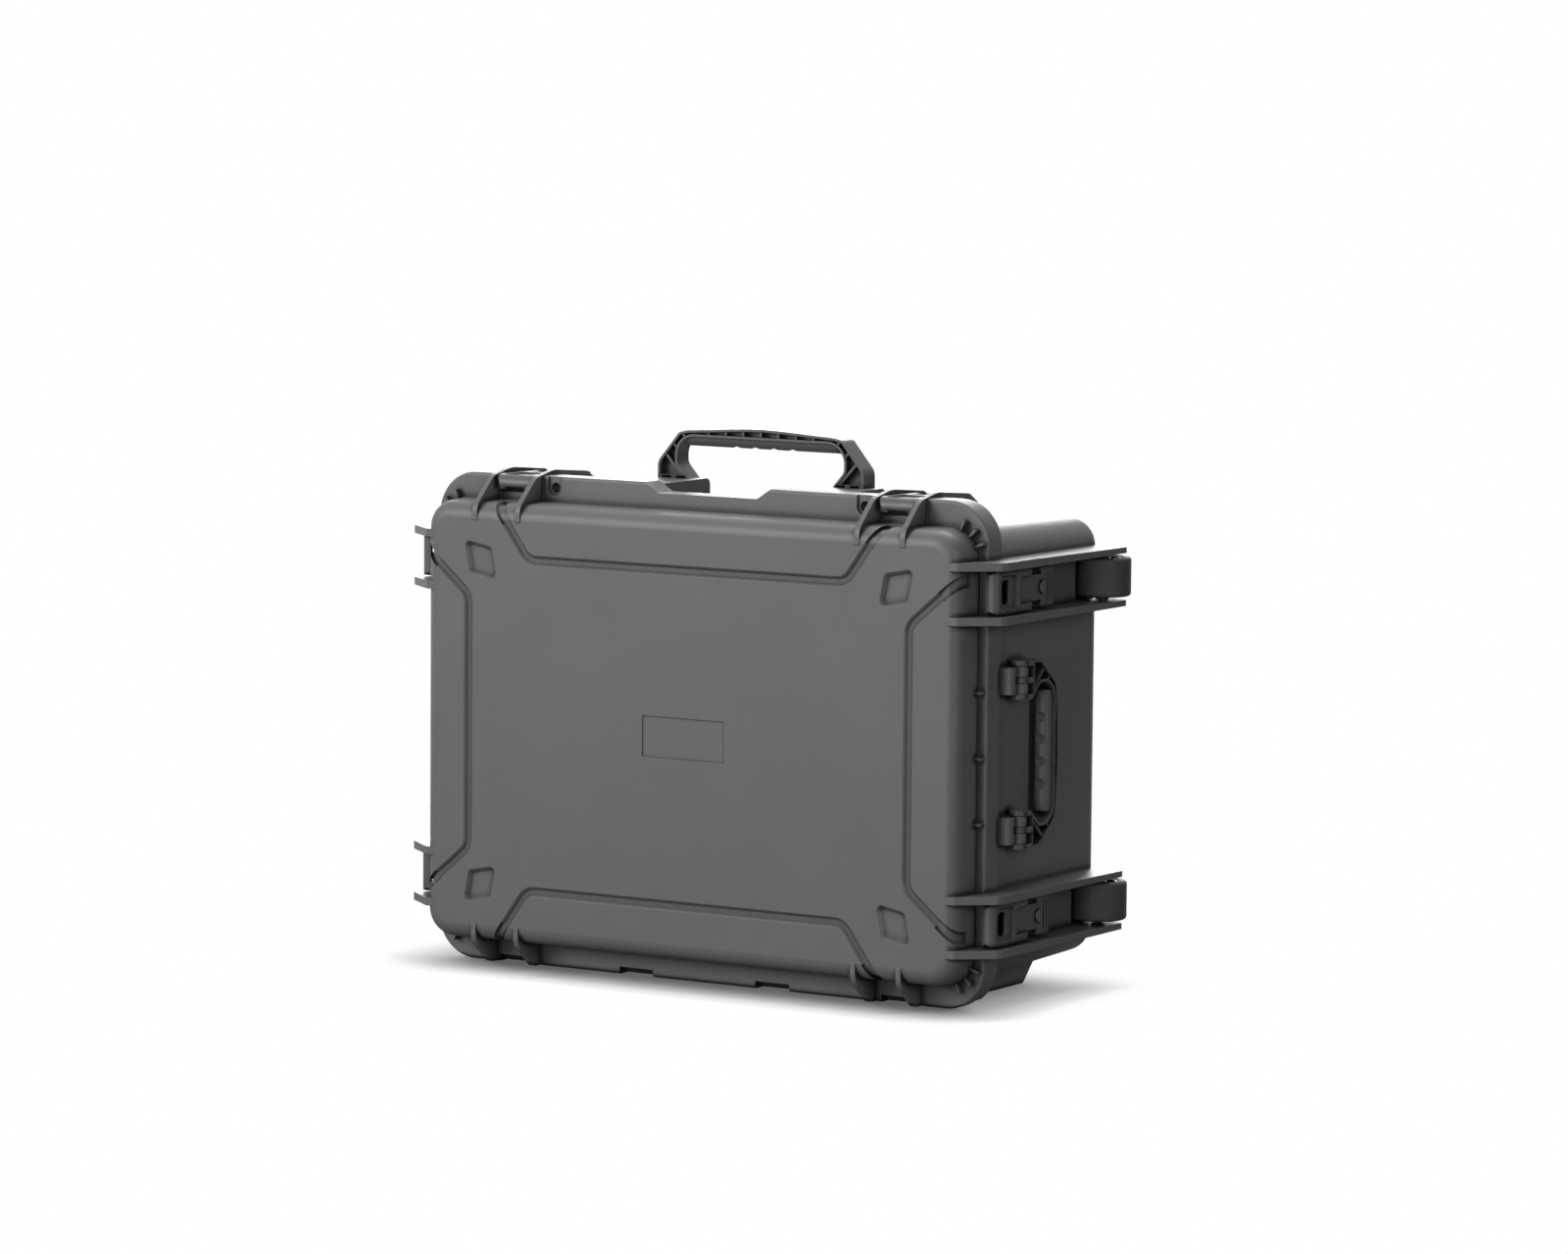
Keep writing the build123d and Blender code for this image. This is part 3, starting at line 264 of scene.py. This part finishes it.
# Thermoplastic rubber, moulded over the hub: dark and dull, with paler dust in its pores.
rubber_tyre = rubber("thermoplastic_rubber_moulded_tyre", "#444445", "#545352", roughness=0.62,
                     pore_mm=0.9, pore_depth=0.05)
# EPDM sponge, extruded: black, matt and finely pitted.
epdm_seal = rubber("epdm_sponge_extruded_seal", "#161616", "#262626", roughness=0.85,
                   pore_mm=0.6, pore_depth=0.09)

# Polyurethane foam, cut from the block: charcoal, without gloss, open cells of 1 mm that each hold
# a small shadow, and a slight cloudiness.
foam_cell = 1.1
foam_cell_depth = 0.35
foam_cloud = 30
polyurethane_foam, surface, place = start_material("polyurethane_foam_cut")
cells = node(polyurethane_foam, "TexVoronoi", {"Vector": place, "Scale": per_metre(foam_cell)},
             feature="F1")
patches = node(polyurethane_foam, "TexNoise", {"Vector": place, "Scale": per_metre(foam_cloud),
                                               "Detail": 4.0})
depth = node(polyurethane_foam, "MapRange", {"Value": cells.outputs["Distance"],
                                             "From Min": 0.05, "From Max": 0.7})
skin = node(polyurethane_foam, "Mix", {"Factor": depth.outputs["Result"], "A": linear("#1c1c1e"),
                                       "B": linear("#47474a")}, data_type="RGBA")
tint = node(polyurethane_foam, "MapRange", {"Value": patches.outputs["Fac"],
                                            "To Min": 0.0, "To Max": 0.35})
cloudy = node(polyurethane_foam, "Mix", {"Factor": tint.outputs["Result"],
                                         "A": skin.outputs["Result"],
                                         "B": linear("#3a3a3d")}, data_type="RGBA")
pitted = node(polyurethane_foam, "Bump", {"Height": cells.outputs["Distance"], "Strength": 0.8,
                                          "Distance": foam_cell_depth * mm})
foam_shader = node(polyurethane_foam, "BsdfPrincipled", {"Base Color": cloudy.outputs["Result"],
                                                         "Roughness": 0.95,
                                                         "Normal": pitted.outputs["Normal"],
                                                         "Specular IOR Level": 0.2,
                                                         "Sheen Weight": 0.15})
polyurethane_foam.node_tree.links.new(foam_shader.outputs["BSDF"], surface)

# Aluminium, extruded and satin anodised: pale, with fine die lines that run along the rail, 0.5 mm
# apart and 50 times as long.
die_line = 0.5
die_stretch = 0.02
anodised_aluminium, surface, place = start_material("aluminium_extruded_anodised")
lengthwise = node(anodised_aluminium, "Mapping", {"Vector": place,
                                                  "Scale": (die_stretch, 1.0, 1.0)})
lines = node(anodised_aluminium, "TexNoise", {"Vector": lengthwise.outputs["Vector"],
                                              "Scale": per_metre(die_line), "Detail": 3.0})
streak = node(anodised_aluminium, "MapRange", {"Value": lines.outputs["Fac"],
                                               "From Min": noise_low, "From Max": noise_high,
                                               "To Min": 0.26, "To Max": 0.42})
tone = node(anodised_aluminium, "Mix", {"Factor": lines.outputs["Fac"], "A": linear("#9fa1a4"),
                                        "B": linear("#bdbfc2")}, data_type="RGBA")
drawn = node(anodised_aluminium, "Bump", {"Height": lines.outputs["Fac"], "Strength": 0.3,
                                          "Distance": 0.02 * mm})
rail_shader = node(anodised_aluminium, "BsdfPrincipled", {"Base Color": tone.outputs["Result"],
                                                          "Metallic": 1.0,
                                                          "Roughness": streak.outputs["Result"],
                                                          "Normal": drawn.outputs["Normal"]})
anodised_aluminium.node_tree.links.new(rail_shader.outputs["BSDF"], surface)

# Steel, turned and zinc plated: bright and slightly bluish, with tool marks 0.4 mm apart and a
# mottled passivation.
plating_mottle = 3
tool_mark = 0.4
zinc_steel, surface, place = start_material("steel_turned_zinc_plated")
mottle = node(zinc_steel, "TexNoise", {"Vector": place, "Scale": per_metre(plating_mottle),
                                       "Detail": 5.0, "Roughness": 0.6})
rings = node(zinc_steel, "TexNoise", {"Vector": place, "Scale": per_metre(tool_mark),
                                      "Detail": 2.0})
plate = node(zinc_steel, "Mix", {"Factor": mottle.outputs["Fac"], "A": linear("#8f9297"),
                                 "B": linear("#b9bbbd")}, data_type="RGBA")
gloss = node(zinc_steel, "MapRange", {"Value": mottle.outputs["Fac"],
                                      "From Min": noise_low, "From Max": noise_high,
                                      "To Min": 0.24, "To Max": 0.40})
turned = node(zinc_steel, "Bump", {"Height": rings.outputs["Fac"], "Strength": 0.3,
                                   "Distance": 0.02 * mm})
steel_shader = node(zinc_steel, "BsdfPrincipled", {"Base Color": plate.outputs["Result"],
                                                   "Metallic": 1.0,
                                                   "Roughness": gloss.outputs["Result"],
                                                   "Normal": turned.outputs["Normal"]})
zinc_steel.node_tree.links.new(steel_shader.outputs["BSDF"], surface)

finishes = {
    "shell_polymer": polypropylene_shell,
    "latch_polymer": nylon_latch,
    "button_polymer": acetal_button,
    "handle_polymer": nylon_handle,
    "wheel_polymer": nylon_wheel,
    "tyre_rubber": rubber_tyre,
    "seal_rubber": epdm_seal,
    "foam": polyurethane_foam,
    "rail_aluminium": anodised_aluminium,
    "steel": zinc_steel,
}
slot_of = {part["node"]: part["material_slot"] for part in frame["record"]["subparts"]}
for name, piece in frame["nodes"].items():
    piece.data.materials.clear()
    piece.data.materials.append(finishes[slot_of[name]])


# ---------------------------------------------------------------- foam lining
foam_voxel = 4.0 * mm
foam_softening = 6
# The lid's pad: the pitch and depth of its waves, the skin of it that is its free face, the flat
# margin round them and the width in which they fade in.
egg_pitch = 36 * mm
egg_depth = 11 * mm
free_skin = 3 * mm
egg_margin = 8 * mm
egg_fade = 14 * mm
# Every face undulates inwards by up to twice this, over about 33 mm.
sag = 0.35 * mm
sags_per_metre = 30


def cut_foam(node_name):
    """A copy of a block of foam in small even facets, with its arrises softened."""
    piece = bpy.data.objects.new("soft_" + node_name, frame["nodes"][node_name].data.copy())
    bpy.context.scene.collection.objects.link(piece)
    remesh = piece.modifiers.new("remesh", "REMESH")
    remesh.mode = "VOXEL"
    remesh.voxel_size = foam_voxel
    smooth = piece.modifiers.new("smooth", "SMOOTH")
    smooth.factor = 0.5
    smooth.iterations = foam_softening
    evaluated = piece.evaluated_get(bpy.context.evaluated_depsgraph_get())
    mesh = bpy.data.meshes.new_from_object(evaluated)
    piece.modifiers.clear()
    piece.data = mesh
    return piece


def wave_depth(spot, low, high):
    """How far a point of the lid's free face is cut back, with a flat margin round the waves."""
    margin = min(spot.x - low.x, high.x - spot.x, spot.z - low.z, high.z - spot.z)
    fade = min(1, max(0, (margin - egg_margin) / egg_fade))
    wave = cos(2 * pi * spot.x / egg_pitch) * cos(2 * pi * spot.z / egg_pitch)
    return fade * egg_depth * (0.5 - 0.5 * wave)


def settle(piece, node_name, body):
    """Gives a foam piece smooth faces, its material and its body, and hides the CAD node that it
    stands for.
    """
    for polygon in piece.data.polygons:
        polygon.use_smooth = True
    piece.data.materials.clear()
    piece.data.materials.append(polyurethane_foam)
    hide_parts(node_name)
    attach(piece, body)


for node_name, body in (("foam_frame", "base"), ("foam_floor", "base"), ("foam_lid", "lid")):
    piece = cut_foam(node_name)
    low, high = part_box(node_name)
    normals = [vertex.normal.copy() for vertex in piece.data.vertices]
    for vertex, normal in zip(piece.data.vertices, normals):
        spot = vertex.co.copy()
        if node_name == "foam_lid" and spot.y > high.y - free_skin:
            spot.y -= wave_depth(spot, low, high)
        vertex.co = spot + normal * sag * (noise.noise(spot * sags_per_metre) - 1)
    settle(piece, node_name, body)


# ---------------------------------------------------------------- floor, background and light
floor_half = 20
floor_mesh = bpy.data.meshes.new("floor")
shape = bmesh.new()
bmesh.ops.create_grid(shape, x_segments=1, y_segments=1, size=floor_half)
shape.to_mesh(floor_mesh)
shape.free()
floor = bpy.data.objects.new("floor", floor_mesh)
floor.location.z = cad_box[0].z
bpy.context.scene.collection.objects.link(floor)

# Paper sweep, matt. Where it is seen it is clear, so that the white behind it and a lid that hangs
# below it show, and it is darkened only where the case stands close above it. To the light that it
# throws back on the object it is grey. Lamps shine through it from both sides.
# The shadow is looked for within this reach, in metres, with the hemisphere turned to the rear and
# away from the wheels, so that it is wider in front of the case than behind it.
shadow_reach = 0.06
shadow_lean = (-0.30, 0.60, 0.74)
shadow_depth = 1.1
# What shiny faces see of the paper: it darkens to the right between two places, and near the case
# within two distances, in metres.
dark_side_start = 0.30
dark_side_full = 0.60
dark_side_strength = 0.95
near_full = 0.8
near_end = 1.8
near_strength = 0.8
paper_sweep, surface, place = start_material("paper_matt_sweep")
path = node(paper_sweep, "LightPath")
seen = node(paper_sweep, "Math", {0: path.outputs["Is Camera Ray"],
                                  1: path.outputs["Is Glossy Ray"]}, operation="MAXIMUM")
clear = node(paper_sweep, "Math", {0: seen.outputs["Value"],
                                   1: path.outputs["Is Transmission Ray"]}, operation="MAXIMUM")
leaning = node(paper_sweep, "CombineXYZ", dict(zip("XYZ", shadow_lean))).outputs["Vector"]
near_case = node(paper_sweep, "AmbientOcclusion", {"Distance": shadow_reach, "Normal": leaning},
                 samples=32)
contact = node(paper_sweep, "Math", {0: near_case.outputs["AO"], 1: shadow_depth},
               operation="POWER")
clear_paper = node(paper_sweep, "BsdfTransparent", {"Color": contact.outputs["Value"]})
sideways = node(paper_sweep, "SeparateXYZ", {"Vector": place})
dimmed = node(paper_sweep, "MapRange", {"Value": sideways.outputs["X"],
                                        "From Min": dark_side_start, "From Max": dark_side_full,
                                        "To Min": 0.0, "To Max": dark_side_strength})
spread = node(paper_sweep, "VectorMath", {0: place}, operation="LENGTH")
close_by = node(paper_sweep, "MapRange", {"Value": spread.outputs["Value"],
                                          "From Min": near_full, "From Max": near_end,
                                          "To Min": near_strength, "To Max": 0.0})
dark = node(paper_sweep, "Math", {0: dimmed.outputs["Result"], 1: close_by.outputs["Result"]},
            operation="MAXIMUM")
hidden = node(paper_sweep, "Math", {0: path.outputs["Is Glossy Ray"], 1: dark.outputs["Value"]},
              operation="MULTIPLY")
shown = node(paper_sweep, "Math", {0: clear.outputs["Value"], 1: hidden.outputs["Value"]},
             operation="SUBTRACT")
grey_paper = node(paper_sweep, "BsdfDiffuse", {"Color": linear("#5c5c5c")})
choice = node(paper_sweep, "MixShader", {0: shown.outputs["Value"], 1: grey_paper.outputs["BSDF"],
                                         2: clear_paper.outputs["BSDF"]})
lit_through = node(paper_sweep, "BsdfTransparent", {"Color": linear("#ffffff")})
whole = node(paper_sweep, "MixShader", {0: path.outputs["Is Shadow Ray"],
                                        1: choice.outputs["Shader"],
                                        2: lit_through.outputs["BSDF"]})
paper_sweep.node_tree.links.new(whole.outputs["Shader"], surface)
floor.data.materials.append(paper_sweep)

# White all round for the camera. Shiny faces see white too, except to the right, where a dark
# screen stands. The light that it gives is low and even.
screen_start = 0.15
screen_full = 0.5
screen_level = 0.12
even_light = 0.06
world = bpy.data.worlds.new("studio")
bpy.context.scene.world = world
world.use_nodes = True
world.node_tree.nodes.clear()
path = node(world, "LightPath")
direction = node(world, "SeparateXYZ", {"Vector": node(world, "TexCoord").outputs["Generated"]})
screen = node(world, "MapRange", {"Value": direction.outputs["X"],
                                  "From Min": screen_start, "From Max": screen_full,
                                  "To Min": 1.0, "To Max": screen_level})
shiny = node(world, "Math", {0: path.outputs["Is Glossy Ray"], 1: screen.outputs["Result"]},
             operation="MULTIPLY")
seen = node(world, "Math", {0: path.outputs["Is Camera Ray"],
                            1: path.outputs["Is Transmission Ray"]}, operation="MAXIMUM")
bright = node(world, "Math", {0: seen.outputs["Value"], 1: shiny.outputs["Value"]},
              operation="MAXIMUM")
level = node(world, "Math", {0: bright.outputs["Value"], 1: even_light}, operation="MAXIMUM")
studio = node(world, "Background", {"Color": (1, 1, 1, 1), "Strength": level.outputs["Value"]})
node(world, "OutputWorld", {"Surface": studio.outputs["Background"]})

# Each softbox has its place and side in metres and its power in watts, and points at the middle
# of the case.
softboxes = {
    "key_front_left": ((-2.6, -4.2, 2.3), 2.4, 140),
    "front_low": ((0.8, -4.2, 0.5), 1.6, 34),
    "overhead": ((-0.1, 1.0, 2.6), 1.6, 34),
    "fill_right": ((4.2, -2.0, 1.4), 2.0, 42),
    "rim_light": ((-1.9, 3.2, 1.3), 2.2, 95),
}
case_middle = Vector((0, 0, 0.22))
for name, (spot, size, watts) in softboxes.items():
    lamp = bpy.data.lights.new(name, "AREA")
    lamp.shape = "SQUARE"
    lamp.size = size
    lamp.energy = watts
    holder = bpy.data.objects.new(name, lamp)
    holder.location = spot
    holder.rotation_mode = "QUATERNION"
    holder.rotation_quaternion = (case_middle - Vector(spot)).to_track_quat("-Z", "Y")
    holder.visible_camera = False
    # the rim light is there for the sheen that it gives the top
    holder.visible_diffuse = name != "rim_light"
    bpy.context.scene.collection.objects.link(holder)

bpy.context.scene.view_settings.view_transform = "Standard"
